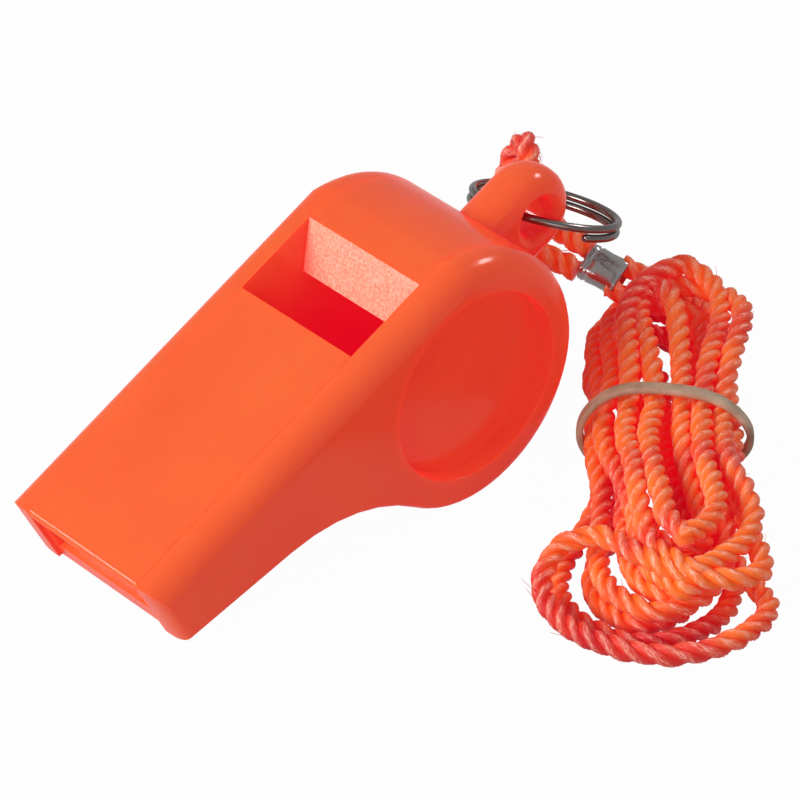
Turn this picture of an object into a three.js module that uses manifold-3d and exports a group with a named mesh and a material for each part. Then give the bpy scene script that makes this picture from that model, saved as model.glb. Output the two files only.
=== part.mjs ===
// A moulded pea whistle with its split ring and its lanyard, in millimetres with +Z up.
// The whistle is drawn in a frame of its own: X runs from the mouth along the top plate to the barrel,
// Z is square to the top plate, and the near side is -Y. It is then tipped back so that it lies on
// the lower edge of its mouth and on its barrel, with the floor at Z = 0.
import * as THREE from 'three';
import { mergeVertices } from 'three/addons/utils/BufferGeometryUtils.js';
import Module from 'manifold-3d';

const manifoldLibrary = await Module();
manifoldLibrary.setup();

const degrees = Math.PI / 180;

// Side outline of the whistle
const barrelRadius = 10.95;
const barrelAxisX = 30.7;
const barrelRise = 0.55;
const mouthDepth = 6.4;
const mouthSlant = 0.1;
const undersideSlope = 10 * degrees;
const throatFillet = 15;

// Centre body
const seamHalfWidth = 6.35;
const seamClearance = 0.05;
const barrelWall = 1.45;
const plateThicknessAtMouth = 0.9;
const plateThicknessAtWindow = 1.4;
const slotHeightAtMouth = 2.0;
const slotHeightAtWindow = 2.45;
const slotSideWall = 0.7;
const frontPocketDepth = 0.5;
const frontPocketHeight = 1.8;
const lipRadius = 0.4;
const windowStart = 24;
const windowEnd = 31.8;
const rampSlope = 55.7 * degrees;
const rampDepth = 3.96;
const rampEdgeThickness = 0.25;
const rampBackReach = 5.6;

// Side covers
const coverThickness = 2.7;
const coverRoundingInPlane = 2;
const coverRoundingAcross = 2;
const coverRoundingBelow = 0.7;
const coverOverhangAtMouth = 0.35;
const recessRadius = 8.1;
const recessDepth = 1.7;

// Lug for the ring
const lugReach = 14.5;
const lugRadius = 3.9;
const lugThickness = 4.4;
const lugRounding = 1.9;
const lugHoleRadius = 1.75;
const lugHoleRounding = 0.8;
const lugDrop = 0.1;

// Pea
const peaDiameter = 9;
const peaClearance = 0.3;

// Split ring
const ringMeanRadius = 5.95;
const ringWireDiameter = 0.68;
const ringCoilGap = 0.08;
const ringFirstEnd = -104 * degrees;
const ringLastEnd = 523 * degrees;
const ringClimbStart = 163 * degrees;
const ringClimbEnd = 205 * degrees;
const ringCentreFromHole = new THREE.Vector3(4.6, 1.99, -2.52);
const ringDip = 21.7 * degrees;
const ringTilt = -5.5 * degrees;

// Cord of the lanyard
const cordDiameter = 1.8;
const cordGap = 0.3;

// Turns of the cord round the ring
const wrapAngle = 69 * degrees;
const wrapTurns = 0.72;
const wrapPitch = 1.2;
const wrapHeight = 3.8;
const wrapWidth = 2.2;

// Ferrule
const ferruleCentre = new THREE.Vector3(27.4, 0.4, 7.55);
const ferruleDirection = new THREE.Vector3(0.3, -0.93, -0.2).normalize();
const ferruleAcross = new THREE.Vector3(0.84, 0.155, 0.52);
const ferruleLength = 3.4;
const ferruleWidth = 3.6;
const ferruleThickness = 2.2;
const ferruleSeamWidth = 0.5;
const ferruleSeamDepth = 0.35;
const cordSpacingInFerrule = 2.25;

// Hank: runs along the floor, away from the ferrule
const hankWaist = new THREE.Vector2(18.4, -15.4);
const hankTopFold = 7.2;
const hankBottomFold = 17.5;
const hankWaistPlace = 1;
const hankTopFoldRadius = 1.4;
const hankBottomFoldRadius = 3.3;
const hankWaistHalfGap = 0.7;
const hankLoopStep = 2.31;
const hankLayerStep = 2.3;
const hankSpiralTurns = 2.125;
const hankClimbTurns = 0.25;
const hankStepsPerLoop = 24;
const hankSides = 6;

// Rubber band
const bandWidth = 1.2;
const bandThickness = 0.6;
const bandSlack = 0.3;
const bandCornerRadius = 1.3;

// Values that follow from the sizes above
const barrelAxisDepth = barrelRadius - barrelRise;
const outerHalfWidth = seamHalfWidth + coverThickness;
const barrelAxis = new THREE.Vector2(barrelAxisX, -barrelAxisDepth);
const boreRadius = barrelRadius - barrelWall;
const cordRadius = cordDiameter / 2;
const mouthBottom = new THREE.Vector2(mouthSlant - coverOverhangAtMouth, -mouthDepth);
const mouthToBarrel = barrelAxis.clone().sub(mouthBottom);
const mouthToBarrelSlope = Math.atan2(mouthToBarrel.y, mouthToBarrel.x);
const pitch = Math.asin(barrelRadius / mouthToBarrel.length()) - mouthToBarrelSlope;
const lowestBarrelAngle = -Math.PI / 2 - pitch;
const lugHole = new THREE.Vector2(barrelAxisX + lugReach, -barrelAxisDepth - lugDrop);

function smooth(value) {
  const clamped = Math.min(Math.max(value, 0), 1);
  return clamped * clamped * (3 - 2 * clamped);
}

function colourOf(hex, roughness, metalness) {
  return new THREE.MeshStandardMaterial({ color: hex, roughness, metalness });
}

// A closed geometry from points and triangles, turned so that its faces point out
function closedGeometry(points, triangles) {
  let volume = 0;
  for (let i = 0; i < triangles.length; i += 3) {
    const a = points[triangles[i]];
    const b = points[triangles[i + 1]];
    const c = points[triangles[i + 2]];
    volume += a.dot(b.clone().cross(c));
  }
  const ordered = volume > 0 ? triangles : triangles.slice().reverse();
  const geometry = new THREE.BufferGeometry();
  geometry.setFromPoints(points);
  geometry.setIndex(ordered);
  return geometry;
}

// Triangles that fill a section, wound the way its points run
function facesOf(section) {
  const faces = THREE.ShapeUtils.triangulateShape(section, []);
  const first = faces[0].map((corner) => section[corner]);
  const alike = THREE.ShapeUtils.isClockWise(first) === THREE.ShapeUtils.isClockWise(section);
  return alike ? faces : faces.map(([a, b, c]) => [c, b, a]);
}

// Joins rings of points, each with as many points as the next, and closes the two ends with the section
function loft(rings, section) {
  const count = rings[0].length;
  const endFaces = facesOf(section);
  const triangles = [];
  for (let ring = 0; ring + 1 < rings.length; ring += 1) {
    for (let i = 0; i < count; i += 1) {
      const next = (i + 1) % count;
      const a = ring * count + i;
      const b = ring * count + next;
      const c = a + count;
      const d = b + count;
      triangles.push(a, b, c, b, d, c);
    }
  }
  const last = (rings.length - 1) * count;
  for (const [a, b, c] of endFaces) {
    triangles.push(c, b, a, last + a, last + b, last + c);
  }
  return closedGeometry(rings.flat(), triangles);
}

function solidOf(geometry) {
  const bare = geometry.clone();
  bare.deleteAttribute('normal');
  bare.deleteAttribute('uv');
  const merged = mergeVertices(bare);
  const mesh = new manifoldLibrary.Mesh({
    numProp: 3,
    vertProperties: Float32Array.from(merged.getAttribute('position').array),
    triVerts: Uint32Array.from(merged.getIndex().array),
  });
  return new manifoldLibrary.Manifold(mesh);
}

function geometryOf(solid) {
  const mesh = solid.getMesh();
  const geometry = new THREE.BufferGeometry();
  geometry.setAttribute('position', new THREE.BufferAttribute(mesh.vertProperties, 3));
  geometry.setIndex(new THREE.BufferAttribute(mesh.triVerts, 1));
  return geometry;
}

// A prism across the whistle whose side view is the outline given as [x, z] pairs
function prism(corners, fromY, toY) {
  const shape = new THREE.Shape(corners.map(([x, z]) => new THREE.Vector2(x, z)));
  const geometry = new THREE.ExtrudeGeometry(shape, { depth: toY - fromY, bevelEnabled: false });
  geometry.rotateX(Math.PI / 2);
  geometry.translate(0, toY, 0);
  return geometry;
}

function cylinderAcross(radius, x, z, fromY, toY, sides) {
  const geometry = new THREE.CylinderGeometry(radius, radius, toY - fromY, sides);
  geometry.translate(x, (fromY + toY) / 2, z);
  return geometry;
}

// The whistle's side outline as points in the X-Z plane, drawn in by one inset along the top plate and
// over the barrel and by another along the underside and the mouth
function outline(inset, lowerInset, setback) {
  const underside = new THREE.Vector2(Math.cos(undersideSlope), -Math.sin(undersideSlope));
  const belowUnderside = new THREE.Vector2(underside.y, -underside.x);
  const filletDepth = mouthToBarrel.dot(belowUnderside);
  const centreSpan = barrelRadius + throatFillet;
  const filletRise = throatFillet - filletDepth;
  const filletRun = mouthToBarrel.dot(underside) - Math.sqrt(centreSpan ** 2 - filletRise ** 2);
  const filletCentre = mouthBottom.clone()
    .addScaledVector(underside, filletRun)
    .addScaledVector(belowUnderside, throatFillet);
  const creaseAngle = Math.asin((barrelAxisDepth - inset) / (barrelRadius - inset));
  const toFillet = filletCentre.clone().sub(barrelAxis);
  const barrelEnd = Math.atan2(toFillet.y, toFillet.x);
  const points = [];
  const mouthLean = mouthSlant / mouthDepth;
  const mouthLineAt = (z) => setback + lowerInset - z * mouthLean;
  points.push(new THREE.Vector2(mouthLineAt(-inset), -inset));
  const stepsToFloor = 34;
  const stepsToFillet = 5;
  const arcs = [
    [creaseAngle, lowestBarrelAngle, stepsToFloor],
    [lowestBarrelAngle, barrelEnd, stepsToFillet],
  ];
  for (const [from, to, steps] of arcs) {
    for (let i = from === creaseAngle ? 0 : 1; i <= steps; i += 1) {
      const angle = from + (to - from) * i / steps;
      const lowered = smooth(2 * (creaseAngle - angle) / (creaseAngle - barrelEnd) - 1);
      const radius = barrelRadius - inset + (inset - lowerInset) * lowered;
      const spoke = new THREE.Vector2(Math.cos(angle), Math.sin(angle));
      points.push(spoke.multiplyScalar(radius).add(barrelAxis));
    }
  }
  const filletSteps = 6;
  const filletFrom = barrelEnd + Math.PI;
  const filletTo = Math.PI / 2 - undersideSlope;
  for (let i = 1; i <= filletSteps; i += 1) {
    const angle = filletFrom + (filletTo - filletFrom) * i / filletSteps;
    const spoke = new THREE.Vector2(Math.cos(angle), Math.sin(angle));
    points.push(spoke.multiplyScalar(throatFillet + lowerInset).add(filletCentre));
  }
  const undersideStart = mouthBottom.clone().addScaledVector(belowUnderside, -lowerInset);
  const slope = Math.tan(undersideSlope);
  const cornerRise = undersideStart.y + slope * (undersideStart.x - setback - lowerInset);
  const cornerZ = cornerRise / (1 - slope * mouthLean);
  points.push(new THREE.Vector2(mouthLineAt(cornerZ), cornerZ));
  return points;
}

function ringAt(points, y) {
  return points.map((point) => new THREE.Vector3(point.x, y, point.y));
}

function makeCentreBody() {
  const halfWidth = seamHalfWidth - seamClearance;
  const section = outline(0, 0, 0);
  let body = solidOf(loft([ringAt(section, -halfWidth), ringAt(section, halfWidth)], section));
  body = body.add(solidOf(makeLug()));
  body = body.add(solidOf(cylinderAcross(lipRadius, 0, -lipRadius, -halfWidth, halfWidth, 16)));

  const beyond = 1;
  const boreSides = 72;
  const rampRun = rampDepth / Math.tan(rampSlope);
  const edge = [windowEnd - rampRun, -rampDepth];
  const backOfEdge = [edge[0] + rampEdgeThickness, edge[1] - rampEdgeThickness];
  const backAtWall = [edge[0] + rampBackReach, 0];
  const rampTop = [windowEnd, 0];
  const outside = halfWidth + beyond;
  const wedge = solidOf(prism([rampTop, edge, backOfEdge, backAtWall], -outside, outside));
  const bore = solidOf(cylinderAcross(
    boreRadius, barrelAxisX, -barrelAxisDepth, -outside, outside, boreSides));
  body = body.subtract(bore.subtract(wedge));

  const aboveRamp = beyond / Math.tan(rampSlope);
  const windowCorners = [
    [windowStart, beyond],
    [windowEnd + aboveRamp, beyond],
    edge,
    [windowStart, -rampDepth - beyond],
  ];
  body = body.subtract(solidOf(prism(windowCorners, -outside, outside)));

  const slotHalfWidth = seamHalfWidth - slotSideWall;
  const roofSlope = (plateThicknessAtWindow - plateThicknessAtMouth) / windowStart;
  const floorAtMouth = plateThicknessAtMouth + slotHeightAtMouth;
  const floorAtWindow = plateThicknessAtWindow + slotHeightAtWindow;
  const floorSlope = (floorAtWindow - floorAtMouth) / windowStart;
  const slotCorners = [
    [-beyond, -plateThicknessAtMouth + roofSlope * beyond],
    [windowStart + beyond, -plateThicknessAtWindow - roofSlope * beyond],
    [windowStart + beyond, -floorAtWindow - floorSlope * beyond],
    [-beyond, -floorAtMouth + floorSlope * beyond],
  ];
  body = body.subtract(solidOf(prism(slotCorners, -slotHalfWidth, slotHalfWidth)));

  const pocketBack = mouthSlant + frontPocketDepth;
  const pocketTop = -plateThicknessAtMouth - slotHeightAtMouth / 2;
  const pocketFloor = -floorAtMouth - frontPocketHeight;
  const pocketCorners = [
    [-beyond, pocketTop],
    [pocketBack, pocketTop],
    [pocketBack, pocketFloor],
    [-beyond, pocketFloor],
  ];
  body = body.subtract(solidOf(prism(pocketCorners, -slotHalfWidth, slotHalfWidth)));
  return geometryOf(body.subtract(solidOf(makeLugHole())));
}

// The lug is a tab with a round end, rounded over on both faces
function makeLug() {
  const rootX = barrelAxisX + boreRadius - barrelWall;
  const tipSteps = 16;
  const faceSteps = 5;
  const section = (inset) => {
    const points = [new THREE.Vector2(rootX, lugHole.y - lugRadius + inset)];
    for (let i = 0; i <= tipSteps; i += 1) {
      const angle = -Math.PI / 2 + Math.PI * i / tipSteps;
      const spoke = new THREE.Vector2(Math.cos(angle), Math.sin(angle)).multiplyScalar(lugRadius - inset);
      points.push(spoke.add(lugHole));
    }
    points.push(new THREE.Vector2(rootX, lugHole.y + lugRadius - inset));
    return points;
  };
  const rings = [];
  const straight = lugThickness / 2 - lugRounding;
  for (let i = -faceSteps; i <= faceSteps; i += 1) {
    const turn = Math.abs(i) / faceSteps * Math.PI / 2;
    const inset = lugRounding * (1 - Math.cos(turn));
    const y = Math.sign(i) * (straight + lugRounding * Math.sin(turn));
    if (i === 0) {
      rings.push(ringAt(section(0), -straight));
      rings.push(ringAt(section(0), straight));
    } else {
      rings.push(ringAt(section(inset), y));
    }
  }
  return loft(rings, section(lugRounding));
}

// The hole through the lug, flared where its edges are rounded
function makeLugHole() {
  const profile = [];
  const steps = 4;
  const half = lugThickness / 2;
  const outside = half + lugHoleRounding;
  const flareRadius = lugHoleRadius + lugHoleRounding;
  profile.push(new THREE.Vector2(0, -outside));
  profile.push(new THREE.Vector2(flareRadius, -outside));
  for (let i = 0; i <= steps; i += 1) {
    const turn = i / steps * Math.PI / 2;
    profile.push(new THREE.Vector2(
      flareRadius - lugHoleRounding * Math.sin(turn), -half + lugHoleRounding * (1 - Math.cos(turn))));
  }
  const mirrored = profile.slice().reverse().map((point) => new THREE.Vector2(point.x, -point.y));
  const geometry = new THREE.LatheGeometry([...profile, ...mirrored], 28);
  geometry.translate(lugHole.x, 0, lugHole.y);
  return geometry;
}

// A side cover: a plate of the whistle's outline, rounded over at its outer edge, with a round recess
function makeCover(side) {
  const roundingSteps = 6;
  const innerY = seamHalfWidth + seamClearance;
  const rings = [ringAt(outline(0, 0, -coverOverhangAtMouth), side * innerY)];
  for (let i = 0; i <= roundingSteps; i += 1) {
    const turn = i / roundingSteps * Math.PI / 2;
    const rounded = 1 - Math.cos(turn);
    const inset = coverRoundingInPlane * rounded;
    const lowerInset = coverRoundingBelow * rounded;
    const y = outerHalfWidth - coverRoundingAcross * (1 - Math.sin(turn));
    rings.push(ringAt(outline(inset, lowerInset, -coverOverhangAtMouth), side * y));
  }
  const face = outline(coverRoundingInPlane, coverRoundingBelow, -coverOverhangAtMouth);
  const plate = solidOf(loft(rings, face));
  const outerY = side * outerHalfWidth;
  const recessFloorY = side * (outerHalfWidth - recessDepth);
  const cutter = cylinderAcross(
    recessRadius, barrelAxisX, -barrelAxisDepth,
    Math.min(recessFloorY, outerY + side), Math.max(recessFloorY, outerY + side), 64);
  return geometryOf(plate.subtract(solidOf(cutter)));
}

function makePea() {
  const geometry = new THREE.SphereGeometry(peaDiameter / 2, 24, 16);
  const orbit = boreRadius - peaDiameter / 2 - peaClearance;
  const sideways = -(seamHalfWidth - peaDiameter / 2 - peaClearance);
  geometry.translate(
    barrelAxisX + orbit * Math.cos(lowestBarrelAngle), sideways,
    -barrelAxisDepth + orbit * Math.sin(lowestBarrelAngle));
  return geometry;
}

// The split ring's wire: one coil, a climb of one wire, and most of a second coil on top of it
class SplitRingWire extends THREE.Curve {
  getPoint(t, target = new THREE.Vector3()) {
    const angle = ringFirstEnd + (ringLastEnd - ringFirstEnd) * t;
    const climbed = smooth((angle - ringClimbStart) / (ringClimbEnd - ringClimbStart));
    const level = (climbed - 1) * (ringWireDiameter + ringCoilGap);
    return target.set(ringMeanRadius * Math.cos(angle), ringMeanRadius * Math.sin(angle), level);
  }
}

function circleShape(radius, sides) {
  const corners = [];
  for (let i = 0; i < sides; i += 1) {
    const angle = 2 * Math.PI * i / sides;
    corners.push(new THREE.Vector2(radius * Math.cos(angle), radius * Math.sin(angle)));
  }
  return new THREE.Shape(corners);
}

function sweep(shape, path, steps) {
  return new THREE.ExtrudeGeometry(shape, { steps, bevelEnabled: false, extrudePath: path });
}

// Where the whistle's own frame stands in the object's frame
const whistle = new THREE.Group();
whistle.rotation.y = -pitch;
whistle.updateMatrixWorld(true);

function inObject(x, y, z) {
  return new THREE.Vector3(x, y, z).applyMatrix4(whistle.matrixWorld);
}

const centreBodyGeometry = makeCentreBody();
const material = {
  plastic: colourOf(0xf0512d, 0.25, 0),
  pea: colourOf(0xb8895a, 0.8, 0),
  steel: colourOf(0x8a8684, 0.25, 1),
  cord: colourOf(0xe8432a, 0.6, 0),
  rubber: colourOf(0xcdb096, 0.7, 0),
};

function addPiece(group, name, geometry, finish) {
  const mesh = new THREE.Mesh(geometry, finish);
  mesh.name = name;
  group.add(mesh);
  return mesh;
}

addPiece(whistle, 'centre_body', centreBodyGeometry, material.plastic);
addPiece(whistle, 'near_cover', makeCover(-1), material.plastic);
addPiece(whistle, 'far_cover', makeCover(1), material.plastic);
addPiece(whistle, 'pea', makePea(), material.pea);

// The floor touches the mouth's lower edge and the barrel.
// The object is centred on the whistle and its ring.
const floorOffset = -inObject(mouthBottom.x, 0, mouthBottom.y).z;
const ringBasis = new THREE.Matrix4().makeRotationY(ringDip);
ringBasis.multiply(new THREE.Matrix4().makeRotationX(ringTilt));
const ringGeometry = sweep(circleShape(ringWireDiameter / 2, 8), new SplitRingWire(), 72);
const ring = new THREE.Mesh(ringGeometry, material.steel);
ring.name = 'split_ring';
ring.setRotationFromMatrix(ringBasis);
const holePlace = inObject(lugHole.x, 0, lugHole.y).add(new THREE.Vector3(0, 0, floorOffset));
ring.position.copy(holePlace).add(ringCentreFromHole);
ring.updateMatrixWorld(true);
whistle.position.z = floorOffset;
whistle.updateMatrixWorld(true);
const standingBox = new THREE.Box3().setFromObject(whistle, true).expandByObject(ring, true);
const centring = -(standingBox.min.x + standingBox.max.x) / 2;
whistle.position.x = centring;
ring.position.x += centring;
ring.updateMatrixWorld(true);

// The cord's turns round the ring, from one side of the ferrule to the other
function cordRoundRing() {
  const centre = new THREE.Vector3(
    ringMeanRadius * Math.cos(wrapAngle), ringMeanRadius * Math.sin(wrapAngle),
    -(ringWireDiameter + ringCoilGap) / 2);
  const outward = new THREE.Vector3(Math.cos(wrapAngle), Math.sin(wrapAngle), 0);
  const along = new THREE.Vector3(Math.sin(wrapAngle), -Math.cos(wrapAngle), 0);
  const steps = 9;
  const points = [];
  const nearFace = ferruleCentre.clone().addScaledVector(ferruleDirection, -ferruleLength / 2 - cordGap);
  const half = cordSpacingInFerrule / 2;
  const besideFerrule = (back, across) => nearFace.clone()
    .addScaledVector(ferruleDirection, -back)
    .addScaledVector(ferruleAcross, across);
  for (const back of [0, cordRadius, cordDiameter]) {
    points.push(besideFerrule(back, half));
  }
  for (let i = 0; i <= steps; i += 1) {
    const turn = 2 * Math.PI * wrapTurns * i / steps;
    const place = centre.clone()
      .addScaledVector(along, wrapPitch * (wrapTurns / 2 - wrapTurns * i / steps))
      .addScaledVector(outward, wrapWidth * Math.cos(turn));
    place.z += wrapHeight * Math.sin(turn);
    points.push(place.applyMatrix4(ring.matrixWorld));
  }
  for (const back of [cordDiameter, cordRadius, 0]) {
    points.push(besideFerrule(back, -half));
  }
  return new THREE.CatmullRomCurve3(points, false, 'centripetal');
}

// The ferrule is a flattened crimp with a seam along one side
function makeFerrule() {
  const width = ferruleWidth / 2;
  const thickness = ferruleThickness / 2;
  const shape = new THREE.Shape();
  shape.moveTo(-width + thickness, -thickness);
  shape.lineTo(-ferruleSeamWidth / 2, -thickness);
  shape.lineTo(-ferruleSeamWidth / 2, -thickness + ferruleSeamDepth);
  shape.lineTo(ferruleSeamWidth / 2, -thickness + ferruleSeamDepth);
  shape.lineTo(ferruleSeamWidth / 2, -thickness);
  shape.lineTo(width - thickness, -thickness);
  shape.absarc(width - thickness, 0, thickness, -Math.PI / 2, Math.PI / 2, false);
  shape.lineTo(-width + thickness, thickness);
  shape.absarc(-width + thickness, 0, thickness, Math.PI / 2, 1.5 * Math.PI, false);
  const geometry = new THREE.ExtrudeGeometry(
    shape, { depth: ferruleLength, bevelEnabled: false, curveSegments: 10 });
  geometry.translate(0, 0, -ferruleLength / 2);
  return geometry;
}

// Where a point of the hank lies: down the hank, across it, and above the floor
const hankDown = new THREE.Vector3(-Math.SQRT1_2, -Math.SQRT1_2, 0);
const hankAcross = new THREE.Vector3(Math.SQRT1_2, -Math.SQRT1_2, 0);

function hankPlace(down, across, height) {
  return new THREE.Vector3(hankWaist.x, hankWaist.y, height)
    .addScaledVector(hankDown, down)
    .addScaledVector(hankAcross, across);
}

// How far a place down the hank is drawn in by the band: 1 at the waist, 0 at the folds
function waistPull(down) {
  const span = down < hankWaistPlace ? hankWaistPlace + hankTopFold : hankBottomFold - hankWaistPlace;
  return 0.5 + 0.5 * Math.cos(Math.PI * Math.min(Math.abs(down - hankWaistPlace) / span, 1));
}

const hankFirstLayer = cordRadius;
const hankLift = bandThickness + bandSlack;
const hankMiddle = hankFirstLayer + 1.5 * hankLayerStep;

// One half of the hank: it spirals in along the bottom layer, climbs along a run, and spirals out above it
function hankHalf(turns) {
  const loopsOut = Math.abs(turns - hankSpiralTurns);
  const climbed = smooth((turns - hankSpiralTurns) / hankClimbTurns + 0.5);
  const part = (turns - Math.floor(turns)) * 4;
  const leg = Math.floor(part);
  const along = part - leg;
  const topRadius = hankTopFoldRadius + hankLoopStep * loopsOut;
  const bottomRadius = hankBottomFoldRadius + hankLoopStep * loopsOut;
  const waistHalf = hankWaistHalfGap + hankLoopStep * loopsOut;
  let down;
  let across;
  if (leg === 0 || leg === 2) {
    const run = leg === 0 ? along : 1 - along;
    down = -hankTopFold + (hankTopFold + hankBottomFold) * run;
    const foldRadius = down < hankWaistPlace ? topRadius : bottomRadius;
    across = foldRadius + (waistHalf - foldRadius) * waistPull(down);
    across *= leg === 0 ? 1 : -1;
  } else {
    const angle = Math.PI * along;
    const radius = leg === 1 ? bottomRadius : topRadius;
    const sign = leg === 1 ? 1 : -1;
    down = (leg === 1 ? hankBottomFold : -hankTopFold) + sign * radius * Math.sin(angle);
    across = sign * radius * Math.cos(angle);
  }
  const height = hankFirstLayer + hankLayerStep * climbed + hankLift * waistPull(down);
  return { down, across, height };
}

// The hank's centre line: out of the ferrule, one half of the loops, the far end of the neck loop,
// the same loops back in the two upper layers, and into the ferrule again
function hankPoints() {
  const halfTurns = 2 * hankSpiralTurns;
  const steps = Math.round(halfTurns * hankStepsPerLoop);
  const farFace = ferruleCentre.clone().addScaledVector(ferruleDirection, ferruleLength / 2 + cordGap);
  const half = cordSpacingInFerrule / 2;
  const points = [];
  const besideFarFace = (out, across) => farFace.clone()
    .addScaledVector(ferruleDirection, out)
    .addScaledVector(ferruleAcross, across);
  for (const out of [0, cordRadius]) {
    points.push(besideFarFace(out, -half));
  }
  points.push(hankPlace(-14.9, 0.4, 5.3));
  points.push(hankPlace(-14.4, 2.6, 4.3));
  points.push(hankPlace(-13.3, 4.9, 2.9));
  points.push(hankPlace(-11.6, 6.4, 1.6));
  points.push(hankPlace(-9.6, 6.55, 1));
  for (let i = 0; i <= steps; i += 1) {
    const place = hankHalf(halfTurns * i / steps);
    points.push(hankPlace(place.down, place.across, place.height));
  }
  points.push(hankPlace(20.2, 8.5, 3));
  points.push(hankPlace(23, 8.3, 2.8));
  points.push(hankPlace(25.6, 6.4, 2.6));
  points.push(hankPlace(27.3, 3.6, 2.6));
  points.push(hankPlace(27.8, 0.8, 3.1));
  points.push(hankPlace(27.2, -1, 4.2));
  points.push(hankPlace(26.6, 0.3, 5.3));
  points.push(hankPlace(25.6, 3.7, 5.4));
  points.push(hankPlace(23.4, 6.5, 5.4));
  points.push(hankPlace(20.5, 8, 5.4));
  for (let i = steps; i >= 0; i -= 1) {
    const place = hankHalf(halfTurns * i / steps);
    const lift = hankLift * waistPull(place.down);
    points.push(hankPlace(place.down, place.across, 2 * (hankMiddle + lift) - place.height));
  }
  points.push(hankPlace(-10.8, 6.5, 8.1));
  points.push(hankPlace(-13.6, 5.2, 8.3));
  points.push(hankPlace(-15.4, 2.8, 7.6));
  for (const out of [cordRadius, 0]) {
    points.push(besideFarFace(out, half));
  }
  return points;
}

// A tube of a few sides along points, closed at both ends
function tubeAlong(points, radius, sides) {
  const rings = [];
  let side = null;
  points.forEach((point, i) => {
    const before = points[Math.max(i - 1, 0)];
    const after = points[Math.min(i + 1, points.length - 1)];
    const direction = after.clone().sub(before).normalize();
    side = side ?? new THREE.Vector3(0, 0, 1).cross(direction);
    side.addScaledVector(direction, -side.dot(direction)).normalize();
    const up = direction.clone().cross(side);
    const ringPoints = [];
    for (let k = 0; k < sides; k += 1) {
      const angle = 2 * Math.PI * k / sides;
      ringPoints.push(point.clone()
        .addScaledVector(side, radius * Math.cos(angle))
        .addScaledVector(up, radius * Math.sin(angle)));
    }
    rings.push(ringPoints);
  });
  const flat = rings[0].map((unused, k) => new THREE.Vector2(
    Math.cos(2 * Math.PI * k / sides), Math.sin(2 * Math.PI * k / sides)));
  return loft(rings, flat);
}

// The least free space between stretches of the hank that don't follow each other, measured on points
function leastGap(points, diameter) {
  const curve = new THREE.CatmullRomCurve3(points, false, 'centripetal');
  const samples = curve.getSpacedPoints(points.length * 4);
  const spacing = curve.getLength() / (samples.length - 1);
  const skip = Math.ceil(2.5 * diameter / spacing);
  let least = Infinity;
  for (let i = 0; i < samples.length; i += 1) {
    for (let j = i + skip; j < samples.length; j += 1) {
      least = Math.min(least, samples[i].distanceTo(samples[j]));
    }
  }
  return least - diameter;
}

function makeBand() {
  const halfWidth = hankWaistHalfGap + hankLoopStep * hankSpiralTurns + cordRadius + bandSlack;
  const height = 3 * hankLayerStep + cordDiameter + 2 * bandSlack;
  const loop = (shape, grow) => {
    const right = halfWidth + grow;
    const top = height + bandThickness + grow;
    const bottom = bandThickness - grow;
    const radius = bandCornerRadius + grow;
    shape.moveTo(-right + radius, bottom);
    shape.absarc(right - radius, bottom + radius, radius, -Math.PI / 2, 0, false);
    shape.absarc(right - radius, top - radius, radius, 0, Math.PI / 2, false);
    shape.absarc(-right + radius, top - radius, radius, Math.PI / 2, Math.PI, false);
    shape.absarc(-right + radius, bottom + radius, radius, Math.PI, 1.5 * Math.PI, false);
    return shape;
  };
  const shape = loop(new THREE.Shape(), bandThickness);
  shape.holes.push(loop(new THREE.Path(), 0));
  const geometry = new THREE.ExtrudeGeometry(
    shape, { depth: bandWidth, bevelEnabled: false, curveSegments: 6 });
  geometry.translate(0, 0, -bandWidth / 2);
  return geometry;
}

const object = new THREE.Group();
object.add(whistle);
object.add(ring);

const loopPath = cordRoundRing();
addPiece(object, 'cord_loop', sweep(circleShape(cordRadius, 8), loopPath, 40), material.cord);

const ferrule = addPiece(object, 'ferrule', makeFerrule(), material.steel);
const ferruleUp = ferruleDirection.clone().cross(ferruleAcross).normalize();
const ferruleSide = ferruleUp.clone().cross(ferruleDirection);
ferrule.setRotationFromMatrix(new THREE.Matrix4().makeBasis(ferruleSide, ferruleUp, ferruleDirection));
ferrule.position.copy(ferruleCentre);

const hankLine = hankPoints();
addPiece(object, 'cord_hank', tubeAlong(hankLine, cordRadius, hankSides), material.cord);

const band = addPiece(object, 'rubber_band', makeBand(), material.rubber);
band.setRotationFromMatrix(new THREE.Matrix4().makeBasis(hankAcross, new THREE.Vector3(0, 0, 1), hankDown));
band.position.copy(hankPlace(hankWaistPlace, 0, 0));

const lengthOf = (points) => new THREE.CatmullRomCurve3(points, false, 'centripetal').getLength();
console.log(`cord round the ring ${loopPath.getLength().toFixed(1)} mm`);
console.log(`cord in the hank ${lengthOf(hankLine).toFixed(1)} mm`);
console.log(`least gap in the hank ${leastGap(hankLine, cordDiameter).toFixed(2)} mm`);

export default object;
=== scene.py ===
# The look of a moulded pea whistle with its split ring and its lanyard. Lengths are in millimetres unless
# a name says otherwise, and turn into metres where an object is made.
import math
import random

import bmesh
import bpy
from mathutils import Matrix, Vector


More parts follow.
